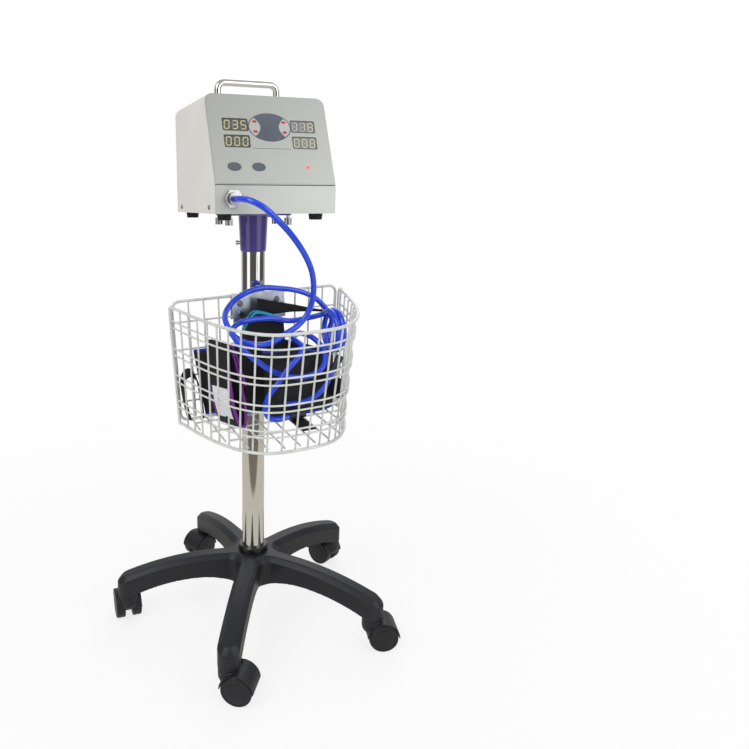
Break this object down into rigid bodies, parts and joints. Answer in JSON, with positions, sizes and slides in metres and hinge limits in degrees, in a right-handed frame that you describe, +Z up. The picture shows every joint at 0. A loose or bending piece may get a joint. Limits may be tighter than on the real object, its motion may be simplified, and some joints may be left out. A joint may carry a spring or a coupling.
{
  "type": "automatic tourniquet",
  "caption": "Automatic pneumatic tourniquet: sloped-front console with displays and keys on a chrome pole, five-arm caster base, wire basket with blue air hose and rolled cuffs.",
  "frame": {"origin": "on the floor, under the middle of the whole object's box without the hose", "axes": "+Z up along the pole, -Y towards the user's side as pictured, +X to the right"},
  "size_m": [0.4945, 0.4722, 0.8974],
  "materials": {
    "base_nylon": "moulded black nylon, fine texture",
    "caster_nylon": "moulded black nylon",
    "wheel_nylon": "smooth black nylon",
    "collar_plastic": "black ring",
    "pole_chrome": "polished plated tube",
    "bright_steel": "bright turned steel",
    "socket_plastic": "glossy indigo moulding",
    "cover_paint": "warm light grey powder coat, satin",
    "tray_paint": "pale silver grey, satin",
    "panel_alloy": "brushed silver sheet",
    "membrane_print": "printed overlay, fine grain",
    "key_slate": "slate rubber key",
    "key_red": "red key",
    "lamp_red": "red lens",
    "display_black": "dark display face",
    "board_green": "coated circuit board",
    "inlet_black": "black moulding",
    "rocker_red": "red rocker",
    "foot_rubber": "black rubber",
    "cast_alloy": "natural alloy",
    "pump_body": "dark painted steel",
    "basket_coat": "pale grey coated wire",
    "bracket_zinc": "zinc plated sheet",
    "hose_blue": "royal blue polyurethane",
    "cuff_fabric": "black nylon fabric",
    "strap_web": "black webbing"
  },
  "bodies": {
    "stand": {"star_base": "base_nylon", "hub_collar": "collar_plastic", "pole": "pole_chrome", "console_socket": "socket_plastic", "socket_screw": "bright_steel", "thumb_screws": "bright_steel", "cover": "cover_paint", "base_tray": "tray_paint", "front_panel": "panel_alloy", "membrane": "membrane_print", "rear_panel": "cover_paint", "display_board": "board_green", "digit_displays": "display_black", "status_lamp": "lamp_red", "carry_handle": "pole_chrome", "rubber_feet": "foot_rubber", "side_screws": "bright_steel", "hose_union": "bright_steel", "union_nut": "bright_steel", "mains_inlet": "inlet_black", "control_board": "board_green", "power_supply": "cast_alloy", "air_pump": "pump_body", "valve_block": "cast_alloy", "basket_back": "basket_coat", "basket_front": "basket_coat", "basket_ribs": "basket_coat", "basket_floor": "basket_coat", "basket_ring_1": "basket_coat", "basket_ring_2": "basket_coat", "basket_ring_3": "basket_coat", "basket_ring_4": "basket_coat", "bracket_plate": "bracket_zinc", "bracket_strap": "bracket_zinc", "bracket_bolts": "bright_steel", "air_hose": "hose_blue", "cuff_tube": "hose_blue", "hose_couplings": "bright_steel", "rolled_cuff": "cuff_fabric", "open_cuff": "cuff_fabric", "flat_cuff": "cuff_fabric", "cuff_straps": "strap_web", "caster_stems": "bright_steel"},
    "caster_1_fork": {"caster_1_hood": "caster_nylon"},
    "caster_1_rollers": {"caster_1_wheels": "wheel_nylon"},
    "caster_2_fork": {"caster_2_hood": "caster_nylon"},
    "caster_2_rollers": {"caster_2_wheels": "wheel_nylon"},
    "caster_3_fork": {"caster_3_hood": "caster_nylon"},
    "caster_3_rollers": {"caster_3_wheels": "wheel_nylon"},
    "caster_4_fork": {"caster_4_hood": "caster_nylon"},
    "caster_4_rollers": {"caster_4_wheels": "wheel_nylon"},
    "caster_5_fork": {"caster_5_hood": "caster_nylon"},
    "caster_5_rollers": {"caster_5_wheels": "wheel_nylon"},
    "inflate_key": {"inflate_key": "key_slate"},
    "deflate_key": {"deflate_key": "key_slate"},
    "pressure_up_key": {"pressure_up_key": "key_red"},
    "pressure_down_key": {"pressure_down_key": "key_red"},
    "time_up_key": {"time_up_key": "key_red"},
    "time_down_key": {"time_down_key": "key_red"},
    "power_rocker": {"power_rocker": "rocker_red"}
  },
  "joints": [
    {"name": "caster_1_swivel", "type": "hinge", "parent": "stand", "child": "caster_1_fork", "pos_m": [-0.02927, -0.203, 0.06], "axis": [0, 0, 1], "continuous": true},
    {"name": "caster_1_roll", "type": "hinge", "parent": "caster_1_fork", "child": "caster_1_rollers", "pos_m": [-0.01341, -0.20755, 0.024], "axis": [0.2756, 0.9613, 0], "continuous": true},
    {"name": "caster_2_swivel", "type": "hinge", "parent": "stand", "child": "caster_2_fork", "pos_m": [0.20325, -0.08606, 0.06], "axis": [0, 0, 1], "continuous": true},
    {"name": "caster_2_roll", "type": "hinge", "parent": "caster_2_fork", "child": "caster_2_rollers", "pos_m": [0.21974, -0.08548, 0.024], "axis": [-0.0349, 0.9994, 0], "continuous": true},
    {"name": "caster_3_swivel", "type": "hinge", "parent": "stand", "child": "caster_3_fork", "pos_m": [0.16388, 0.17122, 0.06], "axis": [0, 0, 1], "continuous": true},
    {"name": "caster_3_roll", "type": "hinge", "parent": "caster_3_fork", "child": "caster_3_rollers", "pos_m": [0.15201, 0.18268, 0.024], "axis": [-0.6947, -0.7193, 0], "continuous": true},
    {"name": "caster_4_swivel", "type": "hinge", "parent": "stand", "child": "caster_4_fork", "pos_m": [-0.09297, 0.21328, 0.06], "axis": [0, 0, 1], "continuous": true},
    {"name": "caster_4_roll", "type": "hinge", "parent": "caster_4_fork", "child": "caster_4_rollers", "pos_m": [-0.10464, 0.20161, 0.024], "axis": [0.7071, -0.7071, 0], "continuous": true},
    {"name": "caster_5_swivel", "type": "hinge", "parent": "stand", "child": "caster_5_fork", "pos_m": [-0.21235, -0.018, 0.06], "axis": [0, 0, 1], "continuous": true},
    {"name": "caster_5_roll", "type": "hinge", "parent": "caster_5_fork", "child": "caster_5_rollers", "pos_m": [-0.21772, -0.0024, 0.024], "axis": [-0.9455, -0.3256, 0], "continuous": true},
    {"name": "inflate_key_press", "type": "slide", "parent": "stand", "child": "inflate_key", "axis": [-0.3008, 0.8736, -0.3825], "range_m": [0, 0.0008], "stiffness_N_per_m": 900, "springref_m": -0.0004},
    {"name": "deflate_key_press", "type": "slide", "parent": "stand", "child": "deflate_key", "axis": [-0.3008, 0.8736, -0.3825], "range_m": [0, 0.0008], "stiffness_N_per_m": 900, "springref_m": -0.0004},
    {"name": "pressure_up_key_press", "type": "slide", "parent": "stand", "child": "pressure_up_key", "axis": [-0.3008, 0.8736, -0.3825], "range_m": [0, 0.0008], "stiffness_N_per_m": 900, "springref_m": -0.0004},
    {"name": "pressure_down_key_press", "type": "slide", "parent": "stand", "child": "pressure_down_key", "axis": [-0.3008, 0.8736, -0.3825], "range_m": [0, 0.0008], "stiffness_N_per_m": 900, "springref_m": -0.0004},
    {"name": "time_up_key_press", "type": "slide", "parent": "stand", "child": "time_up_key", "axis": [-0.3008, 0.8736, -0.3825], "range_m": [0, 0.0008], "stiffness_N_per_m": 900, "springref_m": -0.0004},
    {"name": "time_down_key_press", "type": "slide", "parent": "stand", "child": "time_down_key", "axis": [-0.3008, 0.8736, -0.3825], "range_m": [0, 0.0008], "stiffness_N_per_m": 900, "springref_m": -0.0004},
    {"name": "power_rocker_tilt", "type": "hinge", "parent": "stand", "child": "power_rocker", "pos_m": [-0.06425, 0.11164, 0.7469], "axis": [0.9455, 0.3256, 0], "range_deg": [0, 16]}
  ]
}
